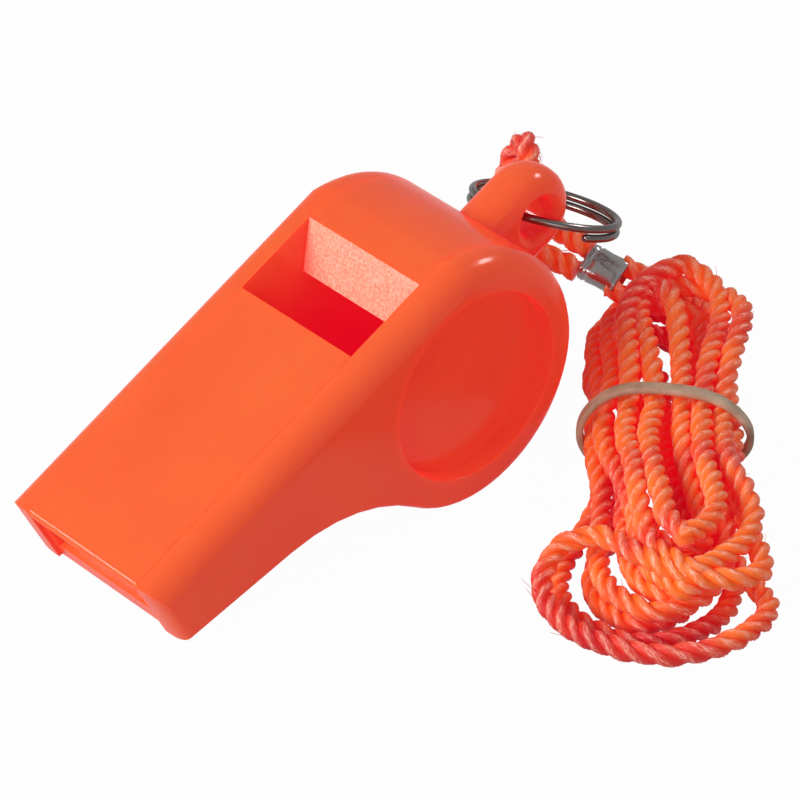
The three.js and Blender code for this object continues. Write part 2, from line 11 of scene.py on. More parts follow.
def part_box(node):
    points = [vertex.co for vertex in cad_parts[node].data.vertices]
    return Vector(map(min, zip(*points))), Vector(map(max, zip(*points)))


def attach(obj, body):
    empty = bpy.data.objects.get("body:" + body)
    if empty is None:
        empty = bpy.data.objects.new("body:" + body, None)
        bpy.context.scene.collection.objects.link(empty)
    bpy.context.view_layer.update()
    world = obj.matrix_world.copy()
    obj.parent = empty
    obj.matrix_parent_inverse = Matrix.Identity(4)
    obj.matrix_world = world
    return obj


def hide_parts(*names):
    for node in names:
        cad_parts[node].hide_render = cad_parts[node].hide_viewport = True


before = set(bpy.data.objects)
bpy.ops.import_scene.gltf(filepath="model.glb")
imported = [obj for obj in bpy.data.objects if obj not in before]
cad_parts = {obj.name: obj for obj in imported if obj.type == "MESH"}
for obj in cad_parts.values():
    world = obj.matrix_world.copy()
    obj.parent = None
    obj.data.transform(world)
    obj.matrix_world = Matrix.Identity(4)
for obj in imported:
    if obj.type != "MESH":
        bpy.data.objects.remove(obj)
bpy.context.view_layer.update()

MM = 0.001
scene = bpy.context.scene
scene.view_settings.view_transform = "Standard"

# Sizes shared with the part's source
BARREL_RADIUS = 10.95
BARREL_AXIS = (30.7, -10.4)
MOUTH_BOTTOM = (-0.25, -6.4)
SEAM_HALF_WIDTH = 6.35
WINDOW_END = 31.8
RAMP_SLOPE = math.radians(55.7)
RAMP_DEPTH = 3.96
PEA_DIAMETER = 9
WHISTLE_SHIFT_X = -27.505

RING_MEAN_RADIUS = 5.95
RING_WIRE_DIAMETER = 0.68
RING_COIL_GAP = 0.08
RING_FIRST_END = math.radians(-104)
RING_LAST_END = math.radians(523)
RING_CLIMB_START = math.radians(163)
RING_CLIMB_END = math.radians(205)
RING_CENTRE_FROM_HOLE = Vector((4.6, 1.99, -2.52))
RING_DIP = math.radians(21.7)
RING_TILT = math.radians(-5.5)
LUG_HOLE = (45.2, -10.5)

CORD_DIAMETER = 1.8
CORD_RADIUS = CORD_DIAMETER / 2
CORD_GAP = 0.3
WRAP_ANGLE = math.radians(69)
WRAP_TURNS = 0.72
WRAP_PITCH = 1.2
WRAP_HEIGHT = 3.8
WRAP_WIDTH = 2.2
WRAP_STEPS = 9

FERRULE_CENTRE = Vector((27.4, 0.4, 7.55))
FERRULE_DIRECTION = Vector((0.3, -0.93, -0.2)).normalized()
FERRULE_ACROSS = Vector((0.84, 0.155, 0.52))
FERRULE_LENGTH = 3.4
FERRULE_WIDTH = 3.6
FERRULE_THICKNESS = 2.2
CORD_SPACING_IN_FERRULE = 2.25

HANK_WAIST = Vector((18.4, -15.4, 0))
HANK_TOP_FOLD = 7.2
HANK_BOTTOM_FOLD = 17.5
HANK_WAIST_PLACE = 1
HANK_TOP_FOLD_RADIUS = 1.4
HANK_BOTTOM_FOLD_RADIUS = 3.3
HANK_WAIST_HALF_GAP = 0.7
HANK_LOOP_STEP = 2.31
HANK_LAYER_STEP = 2.3
HANK_SPIRAL_TURNS = 2.125
HANK_CLIMB_TURNS = 0.25
HANK_STEPS_PER_LOOP = 24
BAND_WIDTH = 1.2
BAND_THICKNESS = 0.6
BAND_SLACK = 0.3

# Camera
CAMERA_PLACE = Vector((-246.103, -270.439, 253.25))
CAMERA_TARGET = Vector((-2.631, -8, 12.292))
CAMERA_ROLL = math.radians(-1.406)
FOCAL_LENGTH = 253.64
SENSOR_WIDTH = 36


def limited(value, least, most):
    return min(max(value, least), most)


def smooth(value):
    """From 0 to 1 with a level start and end."""
    clamped = limited(value, 0.0, 1.0)
    return clamped * clamped * (3 - 2 * clamped)


def look_rotation(place, target, roll):
    """The turn that points a camera or lamp at a target."""
    forward = (target - place).normalized()
    right = forward.cross(Vector((0, 0, 1))).normalized()
    up = right.cross(forward)
    turned_right = right * math.cos(roll) - up * math.sin(roll)
    turned_up = up * math.cos(roll) + right * math.sin(roll)
    return Matrix((turned_right, turned_up, -forward)).transposed()


def add_camera():
    camera = bpy.data.objects.new("camera", bpy.data.cameras.new("camera"))
    scene.collection.objects.link(camera)
    camera.data.lens = FOCAL_LENGTH
    camera.data.sensor_width = SENSOR_WIDTH
    camera.data.clip_start = 0.01
    camera.matrix_world = look_rotation(CAMERA_PLACE, CAMERA_TARGET, CAMERA_ROLL).to_4x4()
    camera.location = CAMERA_PLACE * MM
    scene.camera = camera


add_camera()


# Materials

class Graph:
    """A material's or world's node tree, with short calls to add and join nodes."""

    def __init__(self, owner):
        owner.use_nodes = True
        self.tree = owner.node_tree

    def add(self, kind, **settings):
        node = self.tree.nodes.new(kind)
        for name, value in settings.items():
            setattr(node, name, value)
        return node

    def join(self, source, output, target, entry):
        self.tree.links.new(source.outputs[output], target.inputs[entry])

    def calculate(self, operation, *sources):
        """A math node; each source is a number, or a node and the name or number of its output."""
        node = self.add("ShaderNodeMath", operation=operation)
        for entry, source in enumerate(sources):
            if isinstance(source, tuple):
                self.join(*source, node, entry)
            else:
                node.inputs[entry].default_value = source
        return node


class Nodes(Graph):
    """A material's nodes round its shader."""

    def __init__(self, name):
        self.material = bpy.data.materials.new(name)
        super().__init__(self.material)
        self.shader = self.tree.nodes["Principled BSDF"]

    def set(self, **values):
        for name, value in values.items():
            self.shader.inputs[name.replace("_", " ")].default_value = value

    def noise(self, scale, detail, roughness=0.5, coordinate="Object", stretch=(1, 1, 1)):
        source = self.add("ShaderNodeTexCoord")
        mapping = self.add("ShaderNodeMapping")
        mapping.inputs["Scale"].default_value = stretch
        self.join(source, coordinate, mapping, "Vector")
        noise = self.add("ShaderNodeTexNoise")
        noise.inputs["Scale"].default_value = scale
        noise.inputs["Detail"].default_value = detail
        noise.inputs["Roughness"].default_value = roughness
        self.join(mapping, "Vector", noise, "Vector")
        return noise

    def ramp(self, source, output, stops):
        ramp = self.add("ShaderNodeValToRGB")
        elements = ramp.color_ramp.elements
        while len(elements) < len(stops):
            elements.new(0.5)
        for element, (position, colour) in zip(elements, stops):
            element.position = position
            element.color = (*colour, 1)
        self.join(source, output, ramp, "Fac")
        return ramp

    def colour_by(self, tint):
        self.join(tint, "Color", self.shader, "Base Color")

    def bump(self, source, distance, strength):
        bump = self.add("ShaderNodeBump")
        bump.inputs["Distance"].default_value = distance
        bump.inputs["Strength"].default_value = strength
        self.join(source, "Fac", bump, "Height")
        self.join(bump, "Normal", self.shader, "Normal")


def grey(value):
    return (value, value, value)


# Painted light: an even red glow, emitted by the plastic and the cord, keeps them a bright crimson
# where little light falls on them; it stands in for the fluorescent pigment
PAINTED_GLOW_COLOUR = (1.0, 0.003, 0.028, 1)
PLASTIC_PAINTED_GLOW = 0.43
ROUGH_PLASTIC_PAINTED_GLOW = 0.3
CORD_PAINTED_GLOW = 0.22
PLASTIC_IOR = 1.45
RED_REACH = (1.0, 0.08, 0.04)
# Colour and strength of the painted highlights on the cord
PAINTED_GLINT_COLOUR = (1.0, 0.74, 0.56, 1)
PAINTED_GLINT_SHARE = 0.9


def make_plastic():
    nodes = Nodes("orange_plastic")
    nodes.set(Roughness=0.17, IOR=PLASTIC_IOR, Specular_IOR_Level=0.38)
    nodes.set(Subsurface_Weight=0.6, Subsurface_Scale=2 * MM, Subsurface_Radius=RED_REACH)
    # Painted red glow that keeps the plastic bright where it lies in shade
    nodes.set(Emission_Color=PAINTED_GLOW_COLOUR, Emission_Strength=PLASTIC_PAINTED_GLOW)
    clouds = nodes.noise(90, detail=2)
    deep, light = (0.49, 0.122, 0.02), (0.52, 0.14, 0.022)
    nodes.colour_by(nodes.ramp(clouds, "Fac", [(0.35, deep), (0.65, light)]))
    peel = nodes.noise(420, detail=1)
    nodes.bump(peel, 0.012 * MM, 0.35)
    return nodes.material


def make_ramp_plastic():
    nodes = Nodes("rough_ramp")
    nodes.set(Roughness=0.6, IOR=PLASTIC_IOR)
    # Painted red glow that keeps the rough ramp bright where it lies in shade
    nodes.set(Emission_Color=PAINTED_GLOW_COLOUR, Emission_Strength=ROUGH_PLASTIC_PAINTED_GLOW)
    grain = nodes.noise(3800, detail=4, roughness=0.7)
    nodes.colour_by(nodes.ramp(grain, "Fac", [(0.36, (0.85, 0.27, 0.15)), (0.62, (0.95, 0.56, 0.4))]))
    nodes.bump(grain, 0.07 * MM, 0.7)
    return nodes.material


def make_cord_material():
    """Painted highlights: cream glints are mixed into the base colour along the crest of each strand, which
    is where v is 0 or 1.
    """
    nodes = Nodes("laid_cord")
    # Painted red glow that keeps the cord bright where it lies in shade
    nodes.set(Roughness=0.32, IOR=PLASTIC_IOR, Emission_Color=PAINTED_GLOW_COLOUR, Emission_Strength=CORD_PAINTED_GLOW)
    fibres = nodes.noise(6.0, detail=3, roughness=0.6, coordinate="UV", stretch=(0.4, 4.0, 1))
    patches = nodes.noise(75, detail=2)
    crimson, red, orange = (0.5, 0.012, 0.016), (0.7, 0.055, 0.018), (0.88, 0.2, 0.012)
    tint = nodes.ramp(patches, "Fac", [(0.4, crimson), (0.5, red), (0.6, orange)])
    glint_streaks = nodes.ramp(fibres, "Fac", [(0.46, grey(0.04)), (0.64, grey(1.0))])
    parts = nodes.add("ShaderNodeSeparateXYZ")
    nodes.join(nodes.add("ShaderNodeTexCoord"), "UV", parts, "Vector")
    centred = nodes.calculate("SUBTRACT", (parts, "Y"), 0.5)
    crest = nodes.calculate("ABSOLUTE", (centred, 0))
    glint_crest_share = nodes.ramp(crest, 0, [(0.33, grey(0.0)), (0.48, grey(1.0))])
    share = nodes.calculate("MULTIPLY", (glint_streaks, "Color"), (glint_crest_share, "Color"))
    # Painted highlights: cream glints mixed into the base colour in streaks along each strand's crest
    painted_glints = nodes.calculate("MULTIPLY", (share, 0), PAINTED_GLINT_SHARE)
    mix = nodes.add("ShaderNodeMix", data_type="RGBA", blend_type="MIX")
    first_colour, second_colour, mixed = 6, 7, 2
    mix.inputs[second_colour].default_value = PAINTED_GLINT_COLOUR
    nodes.join(painted_glints, 0, mix, "Factor")
    nodes.join(tint, "Color", mix, first_colour)
    nodes.join(mix, mixed, nodes.shader, "Base Color")
    nodes.bump(fibres, 0.08 * MM, 0.9)
    return nodes.material


def make_metal(name, colour, roughness, scratches, stretch):
    nodes = Nodes(name)
    nodes.set(Metallic=1.0)
    grain = nodes.noise(scratches, detail=4, coordinate="UV", stretch=stretch)
    dull = tuple(0.8 * value for value in colour)
    nodes.colour_by(nodes.ramp(grain, "Fac", [(0.3, dull), (0.7, colour)]))
    smooth_end, rough_end = grey(0.75 * roughness), grey(1.3 * roughness)
    rough = nodes.ramp(grain, "Fac", [(0.3, smooth_end), (0.75, rough_end)])
    nodes.join(rough, "Color", nodes.shader, "Roughness")
    return nodes.material


def make_cork():
    nodes = Nodes("cork")
    nodes.set(Roughness=0.85)
    cells = nodes.noise(900, detail=6, roughness=0.7)
    pores, bark, pale = (0.2, 0.1, 0.05), (0.52, 0.33, 0.18), (0.66, 0.46, 0.28)
    nodes.colour_by(nodes.ramp(cells, "Fac", [(0.35, pores), (0.5, bark), (0.7, pale)]))
    nodes.bump(cells, 0.12 * MM, 0.8)
    return nodes.material


def make_rubber():
    nodes = Nodes("tan_rubber")
    nodes.set(Roughness=0.55, Subsurface_Weight=0.2, Subsurface_Scale=0.4 * MM)
    dust = nodes.noise(700, detail=4)
    nodes.colour_by(nodes.ramp(dust, "Fac", [(0.3, (0.42, 0.26, 0.17)), (0.7, (0.62, 0.44, 0.31))]))
    nodes.bump(dust, 0.03 * MM, 0.6)
    return nodes.material


plastic = make_plastic()
ramp_plastic = make_ramp_plastic()
cord_material = make_cord_material()
ring_steel = make_metal("ring_steel", (0.27, 0.225, 0.215), 0.22, 9, (40, 1, 1))
ferrule_steel = make_metal("ferrule_steel", (0.55, 0.51, 0.51), 0.24, 12, (1, 30, 1))
cork = make_cork()
rubber = make_rubber()


# Mesh helpers

def add_mesh(name, points, faces, material, body, slot, uvs=None):
    """An object from points in millimetres; uvs holds one pair for each corner of each face."""
    mesh = bpy.data.meshes.new(name)
    mesh.from_pydata([Vector(point) * MM for point in points], [], faces)
    mesh.polygons.foreach_set("use_smooth", [True] * len(mesh.polygons))
    if uvs is not None:
        layer = mesh.uv_layers.new(name="UVMap")
        layer.data.foreach_set("uv", [value for pair in uvs for value in pair])
    mesh.materials.append(material)
    piece = bpy.data.objects.new(name, mesh)
    scene.collection.objects.link(piece)
    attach(piece, body)
    return piece


def catmull_rom(points, step):
    """Points about one step apart on a centripetal Catmull-Rom curve through the given points."""
    points = [Vector(point) for point in points]
    padded = [2 * points[0] - points[1], *points, 2 * points[-1] - points[-2]]
    line = []
    for i in range(1, len(padded) - 2):
        p = padded[i - 1:i + 3]
        t = [0.0]
        for a, b in zip(p, p[1:]):
            t.append(t[-1] + max((b - a).length, 1e-6) ** 0.5)
        count = max(1, round((p[2] - p[1]).length / step))
        for k in range(count):
            u = t[1] + (t[2] - t[1]) * k / count
            a1 = p[0] * ((t[1] - u) / (t[1] - t[0])) + p[1] * ((u - t[0]) / (t[1] - t[0]))
            a2 = p[1] * ((t[2] - u) / (t[2] - t[1])) + p[2] * ((u - t[1]) / (t[2] - t[1]))
            a3 = p[2] * ((t[3] - u) / (t[3] - t[2])) + p[3] * ((u - t[2]) / (t[3] - t[2]))
            b1 = a1 * ((t[2] - u) / (t[2] - t[0])) + a2 * ((u - t[0]) / (t[2] - t[0]))
            b2 = a2 * ((t[3] - u) / (t[3] - t[1])) + a3 * ((u - t[1]) / (t[3] - t[1]))
            line.append(b1 * ((t[2] - u) / (t[2] - t[1])) + b2 * ((u - t[1]) / (t[2] - t[1])))
    line.append(points[-1])
    return line


def frames_along(line):
    """A side and an up direction at each point, turned as little as possible from one to the next."""
    directions = []
    for i in range(len(line)):
        directions.append((line[min(i + 1, len(line) - 1)] - line[max(i - 1, 0)]).normalized())
    side = Vector((0, 0, 1)).cross(directions[0])
    frames = []
    for direction in directions:
        side = (side - direction * side.dot(direction)).normalized()
        frames.append((side, direction.cross(side)))
    return frames


def lengths_along(line):
    along = [0.0]
    for a, b in zip(line, line[1:]):
        along.append(along[-1] + (b - a).length)
    return along


def ring_round(centre, side, up, side_radius, up_radius, count):
    """Points on an ellipse round a centre, in the plane of two directions."""
    ring = []
    for k in range(count):
        angle = 2 * math.pi * k / count
        ring.append(centre + side * (side_radius * math.cos(angle)) + up * (up_radius * math.sin(angle)))
    return ring


def quad(i, j, k, sides):
    """The face between rings i and j, at side k."""
    n = (k + 1) % sides
    return (i * sides + k, i * sides + n, j * sides + n, j * sides + k)


def hoop(rings):
    """Points and faces of a body whose last ring joins its first."""
    count, sides = len(rings), len(rings[0])
    points = [point for ring in rings for point in ring]
    return points, [quad(i, (i + 1) % count, k, sides) for i in range(count) for k in range(sides)]


def tube(rings, along):
    """Points, faces and UVs of a closed tube through rings of points; along is the length at each ring."""
    sides = len(rings[0])
    points = [point for ring in rings for point in ring]
    faces = []
    uvs = []
    for i in range(len(rings) - 1):
        low, high = along[i], along[i + 1]
        for k in range(sides):
            faces.append(quad(i, i + 1, k, sides))
            uvs += [(low, k / sides), (low, (k + 1) / sides), (high, (k + 1) / sides), (high, k / sides)]
    last = (len(rings) - 1) * sides
    faces.append(tuple(reversed(range(sides))))
    faces.append(tuple(last + k for k in range(sides)))
    uvs += [(0.0, 0.0)] * (2 * sides)
    return points, faces, uvs


# Laid cord

LAY_LENGTH = 4.6
STRANDS = 3
STRAND_RADIUS = 0.5
STRAND_SIDES = 10
CORD_STEP = 0.34
STRAND_SPREAD = 0.02
STRAND_FLATTENING = 1.06
STRAND_SWELL = 0.06
SWELL_RATE = 0.9
LAY_WAVES = 4
LAY_WAVE_SIZE = (0.15, 0.4)
LAY_WAVE_RATE = (0.15, 0.5)
HAIR_RADIUS = 0.045
HAIR_SIDES = 3
HAIR_STEPS = 6
HAIR_ROOT = 0.62 * CORD_RADIUS
HAIR_TAPER = 0.6
HAIR_CURVE = 1.5
HAIR_UV_STEP = 0.3
HAIR_REACH = (0.35, 1.1)
HAIR_SWING = (-0.7, 0.7)
HAIR_START_MARGIN = 2
HAIR_END_MARGIN = 8
LEAST_HAIR_HEIGHT = 0.02


def add_part(parts, points, faces, uvs):
    """Add one closed body to the points, faces and UVs of a mesh that holds several."""
    all_points, all_faces, all_uvs = parts
    base = len(all_points)
    all_points += points
    all_faces += [tuple(base + index for index in face) for face in faces]
    all_uvs += uvs


def add_hairs(line, frames, count, dice, parts):
    """Loose fibres that leave the cord at a low angle."""
    for _ in range(count):
        start = dice.randrange(HAIR_START_MARGIN, len(line) - HAIR_END_MARGIN)
        turn = dice.uniform(0, 2 * math.pi)
        reach = dice.uniform(*HAIR_REACH)
        swing = dice.uniform(*HAIR_SWING)
        rings = []
        for k in range(HAIR_STEPS):
            at = min(start + k, len(line) - 1)
            side, up = frames[at]
            angle = turn + swing * k / HAIR_STEPS
            outward = side * math.cos(angle) + up * math.sin(angle)
            across = up * math.cos(angle) - side * math.sin(angle)
            run = k / (HAIR_STEPS - 1)
            centre = line[at] + outward * (HAIR_ROOT + reach * run ** HAIR_CURVE)
            thick = HAIR_RADIUS * (1 - HAIR_TAPER * run)
            rings.append(ring_round(centre, outward, across, thick, thick, HAIR_SIDES))
        if min(point.z for ring in rings for point in ring) >= LEAST_HAIR_HEIGHT:
            add_part(parts, *tube(rings, [HAIR_UV_STEP * k for k in range(HAIR_STEPS)]))


def add_strand(line, frames, phase, wander, fullness, parts):
    """One strand that winds round the cord's centre line; its lay wanders a little."""
    reach = CORD_RADIUS - STRAND_RADIUS + STRAND_SPREAD
    along = lengths_along(line)
    rings = []
    for place, (side, up), s in zip(line, frames, along):
        turn = 2 * math.pi * s / LAY_LENGTH + phase
        turn += sum(size * math.sin(rate * s + start) for size, start, rate in wander)
        swell = fullness * (1 + STRAND_SWELL * math.sin(SWELL_RATE * s + 2 * phase))
        outward = side * math.cos(turn) + up * math.sin(turn)
        around = up * math.cos(turn) - side * math.sin(turn)
        radius = STRAND_RADIUS * swell
        centre = place + outward * (reach * swell)
        rings.append(ring_round(centre, outward, around, radius, STRAND_FLATTENING * radius, STRAND_SIDES))
    add_part(parts, *tube(rings, along))


def make_cord(name, line, replaced, seed, hairs, fullness):
    """Three strands laid round one another along a line, with loose fibres, as one mesh."""
    dice = random.Random(seed)
    frames = frames_along(line)
    wander = []
    for _ in range(LAY_WAVES):
        size = dice.uniform(*LAY_WAVE_SIZE)
        start = dice.uniform(0, 2 * math.pi)
        wander.append((size, start, dice.uniform(*LAY_WAVE_RATE)))
    parts = ([], [], [])
    for strand in range(STRANDS):
        add_strand(line, frames, 2 * math.pi * strand / STRANDS, wander, fullness, parts)
    add_hairs(line, frames, hairs, dice, parts)
    points, faces, uvs = parts
    piece = add_mesh(name, points, faces, cord_material, "lanyard", "orange_cord", uvs)
    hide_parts(replaced)
    return piece


# The hank, even as in the part's source

HANK_DOWN = Vector((-math.sqrt(0.5), -math.sqrt(0.5), 0))
HANK_ACROSS = Vector((math.sqrt(0.5), -math.sqrt(0.5), 0))


def hank_place(down, across, height):
    return HANK_WAIST + HANK_DOWN * down + HANK_ACROSS * across + Vector((0, 0, height))


def waist_pull(down):
    """How much the band gathers the loops here: 1 at the band, 0 at the folds."""
    above = down < HANK_WAIST_PLACE
    span = HANK_WAIST_PLACE + HANK_TOP_FOLD if above else HANK_BOTTOM_FOLD - HANK_WAIST_PLACE
    return 0.5 + 0.5 * math.cos(math.pi * min(abs(down - HANK_WAIST_PLACE) / span, 1))


HANK_LIFT = BAND_THICKNESS + BAND_SLACK
HANK_MIDDLE = CORD_RADIUS + 1.5 * HANK_LAYER_STEP


def hank_half(turns):
    """Down, across and height on the spiral, which runs in on the first layer and out on the second."""
    loops_out = abs(turns - HANK_SPIRAL_TURNS)
    climbed = smooth((turns - HANK_SPIRAL_TURNS) / HANK_CLIMB_TURNS + 0.5)
    part = (turns - math.floor(turns)) * 4
    leg = math.floor(part)
    along = part - leg
    top_radius = HANK_TOP_FOLD_RADIUS + HANK_LOOP_STEP * loops_out
    bottom_radius = HANK_BOTTOM_FOLD_RADIUS + HANK_LOOP_STEP * loops_out
    waist_half = HANK_WAIST_HALF_GAP + HANK_LOOP_STEP * loops_out
    if leg in (0, 2):
        run = along if leg == 0 else 1 - along
        down = -HANK_TOP_FOLD + (HANK_TOP_FOLD + HANK_BOTTOM_FOLD) * run
        fold_radius = top_radius if down < HANK_WAIST_PLACE else bottom_radius
        across = fold_radius + (waist_half - fold_radius) * waist_pull(down)
        across *= 1 if leg == 0 else -1
    else:
        angle = math.pi * along
        radius = bottom_radius if leg == 1 else top_radius
        sign = 1 if leg == 1 else -1
        down = (HANK_BOTTOM_FOLD if leg == 1 else -HANK_TOP_FOLD) + sign * radius * math.sin(angle)
        across = sign * radius * math.cos(angle)
    height = CORD_RADIUS + HANK_LAYER_STEP * climbed + HANK_LIFT * waist_pull(down)
    return down, across, height


# How the real loops differ from the even ones of the part: above the band they fan out, below it the upper
# layers lean over to the right and lie across one another, the bundle is round at the band, and the folds
# are uneven
WAIST_HALF_WIDTH = HANK_WAIST_HALF_GAP + HANK_LOOP_STEP * HANK_SPIRAL_TURNS
WAIST_HALF_HEIGHT = 1.5 * HANK_LAYER_STEP
WAIST_LEFT_REACH = 4.3
ROUND_HALF_WIDTH = 5.4
ROUND_HALF_HEIGHT = 2.8
ROUND_MIDDLE = 4.5
WAIST_SHIFT = 0.45
FAN_LENGTH = 1.5
FAN_WIDTH = 1.12
FAN_SHIFT = -0.4
CLOSE_ABOVE = 0.8
CLOSE_UPPER = 2.2
CLOSE_LOWER = 1.0
CLOSE_REACH = 1.5
FAN_DROP = 3.0
FAN_RISE = 1.5
LAYER_SHEAR = 0.65
UPPER_LEAN = 2.6
UPPER_DRAW_IN = 0.22
UPPER_SHORTENING = 0.1
LOWER_LEAN = -0.5
STAGGER = 0.7
STAGGER_START = 0.4
STAGGER_INWARD_OFFSET = 0.75
STAGGER_OUTWARD_OFFSET = 0.25
UNEVENNESS = 0.85
UNEVEN_RATES = (0.31, 0.77, 1.43)
UNEVEN_SCALE = 1.8
UNEVEN_HEIGHT_SHARE = 0.5
MOST_BELOW = 1.4
MOST_ABOVE = 1.6
LEAST_HEIGHT = 1.08 * CORD_RADIUS

hank_dice = random.Random(11)
hank_waves = [[(rate, hank_dice.uniform(0, 2 * math.pi)) for rate in UNEVEN_RATES] for _ in range(3)]


def uneven(axis, turns):
    waves = hank_waves[axis]
    return sum(math.sin(2 * math.pi * rate * turns + start) for rate, start in waves) / UNEVEN_SCALE


def loosened_across(across, upper, above, below, shear):
    """The loops close up a little, fan out above the band, and lean over below it."""
    closing = CLOSE_ABOVE * min(2 * above, 1)
    closing += (CLOSE_UPPER * upper + CLOSE_LOWER * (1 - upper)) * min(2 * below, 1)
    moved = across - closing * math.tanh(across / CLOSE_REACH)
    moved *= (1 - UPPER_DRAW_IN * upper * min(below, 1)) * (1 + (FAN_WIDTH - 1) * min(above, 1))
    moved += (UPPER_LEAN * upper + LOWER_LEAN * (1 - upper)) * min(below, 1)
    return moved + shear + FAN_SHIFT * min(above, 1)


def loosened_down(down, upper):
    """The upper layers are a little shorter, and the fan above the band is longer."""
    moved = down - UPPER_SHORTENING * upper * max(down - HANK_WAIST_PLACE, 0)
    return moved - (FAN_LENGTH - 1) * max(HANK_WAIST_PLACE - down, 0)


def round_at_band(across, height, middle, shear):
    """The place in the round bundle that matches one in the flat stack of layers."""
    u = limited(across / (WAIST_HALF_WIDTH if across > 0 else WAIST_LEFT_REACH), -1, 1)
    v = limited((height - middle) / WAIST_HALF_HEIGHT, -1, 1)
    round_across = WAIST_SHIFT + ROUND_HALF_WIDTH * u * math.sqrt(1 - v * v / 2) + shear
    round_height = ROUND_MIDDLE + ROUND_HALF_HEIGHT * v * math.sqrt(1 - u * u / 2)
    return round_across, round_height


def stagger(spiral):
    """Neighbouring loops of one layer lie a little higher and lower by turns."""
    loops_out = abs(spiral - HANK_SPIRAL_TURNS)
    offset = STAGGER_INWARD_OFFSET if spiral < HANK_SPIRAL_TURNS else STAGGER_OUTWARD_OFFSET
    return STAGGER * math.cos(math.pi * (loops_out - offset)) * smooth(loops_out / STAGGER_START)


def loosen(down, across, height, spiral, turns):
    """Move a place of the even hank; spiral counts the loops of one half, turns those of the whole hank."""
    pull = waist_pull(down)
    middle = HANK_MIDDLE + HANK_LIFT * pull
    upper = smooth((height - middle) / (2 * WAIST_HALF_HEIGHT) + 0.5)
    below = (down - HANK_WAIST_PLACE) / (HANK_BOTTOM_FOLD - HANK_WAIST_PLACE)
    below = limited(below, 0, MOST_BELOW)
    above = limited((HANK_WAIST_PLACE - down) / (HANK_WAIST_PLACE + HANK_TOP_FOLD), 0, MOST_ABOVE)
    shear = LAYER_SHEAR * (2 * upper - 1) * (1 - min(below, 1))
    round_across, round_height = round_at_band(across, height, middle, shear)
    new_down = loosened_down(down, upper)
    new_across = loosened_across(across, upper, above, below, shear)
    new_across += (round_across - new_across) * pull
    new_height = height + (round_height - height) * pull
    new_height += stagger(spiral) * upper * min(below, 1) * (1 - pull)
    inner = 1 - abs(2 * upper - 1)
    new_height += (FAN_RISE * max(2 * upper - 1, 0) ** 2 - FAN_DROP * inner) * max(above - 1, 0)
    loose = UNEVENNESS * (1 - pull)
    new_across += loose * uneven(0, turns)
    new_down += loose * uneven(1, turns)
    new_height += UNEVEN_HEIGHT_SHARE * loose * uneven(2, turns)
    return hank_place(new_down, new_across, max(new_height, LEAST_HEIGHT))


# Listed stretches of the cord, as down, across and height: from the ferrule to the first fold, the far
# end of the neck loop, and from the last fold back to the ferrule
FIRST_LEAD = ((-15.0, -0.6, 6.3), (-13.8, 2.2, 5.9), (-13.4, 4.4, 4.8), (-12.6, 5.3, 2.8))
BIGHT = ((21.5, 8.6, 2.7), (25.2, 5.8, 2.3), (27.0, 1.5, 2.1), (26.6, -3, 2.3), (24.4, -6.8, 2.7),
         (21, -8.6, 3.5), (17.8, -7.4, 4.9), (17.8, -4.6, 6.2), (20.4, -1.6, 6.7), (22.6, 2, 6.5),
         (22.3, 6, 6.0), (20.3, 8, 5.6))
LAST_LEAD = ((-13.6, 5.8, 7.6), (-15.6, 3.8, 7.2), (-16.6, 0.8, 7.2))


def hank_line():
    """The cord's centre line in the hank: the lower two layers, the bight, and the upper two back."""
    half_turns = 2 * HANK_SPIRAL_TURNS
    steps = round(half_turns * HANK_STEPS_PER_LOOP)
    far_face = FERRULE_CENTRE + FERRULE_DIRECTION * (FERRULE_LENGTH / 2 + CORD_GAP)
    beside = FERRULE_ACROSS * (CORD_SPACING_IN_FERRULE / 2)
    outs = (-1, 0, CORD_RADIUS)
    points = [far_face + FERRULE_DIRECTION * out - beside for out in outs]
    points += [hank_place(*place) for place in FIRST_LEAD]
    for i in range(steps + 1):
        turns = half_turns * i / steps
        points.append(loosen(*hank_half(turns), turns, turns))
    points += [hank_place(*place) for place in BIGHT]
    for i in range(steps, -1, -1):
        turns = half_turns * i / steps
        down, across, height = hank_half(turns)
        height = 2 * (HANK_MIDDLE + HANK_LIFT * waist_pull(down)) - height
        points.append(loosen(down, across, height, turns, 2 * half_turns + 1 - turns))
    points += [hank_place(*place) for place in LAST_LEAD]
    points += [far_face + FERRULE_DIRECTION * out + beside for out in reversed(outs)]
    return catmull_rom(points, CORD_STEP)


# Places on the whistle and on the ring

def whistle_turn():
    """The whistle's turn from its own frame, as it lies on the mouth's lower edge and the barrel."""
    rise = Vector((BARREL_AXIS[0] - MOUTH_BOTTOM[0], BARREL_AXIS[1] - MOUTH_BOTTOM[1]))
    pitch = math.asin(BARREL_RADIUS / rise.length) - math.atan2(rise.y, rise.x)
    return Matrix.Rotation(-pitch, 3, "Y")


def whistle_place(x, y, z):
    turn = whistle_turn()
    floor = -(turn @ Vector((MOUTH_BOTTOM[0], 0, MOUTH_BOTTOM[1]))).z
    return turn @ Vector((x, y, z)) + Vector((WHISTLE_SHIFT_X, 0, floor))


ring_turn = Matrix.Rotation(RING_DIP, 3, "Y") @ Matrix.Rotation(RING_TILT, 3, "X")
ring_centre = whistle_place(LUG_HOLE[0], 0, LUG_HOLE[1]) + RING_CENTRE_FROM_HOLE


def ring_place(x, y, z):
    return ring_turn @ Vector((x, y, z)) + ring_centre


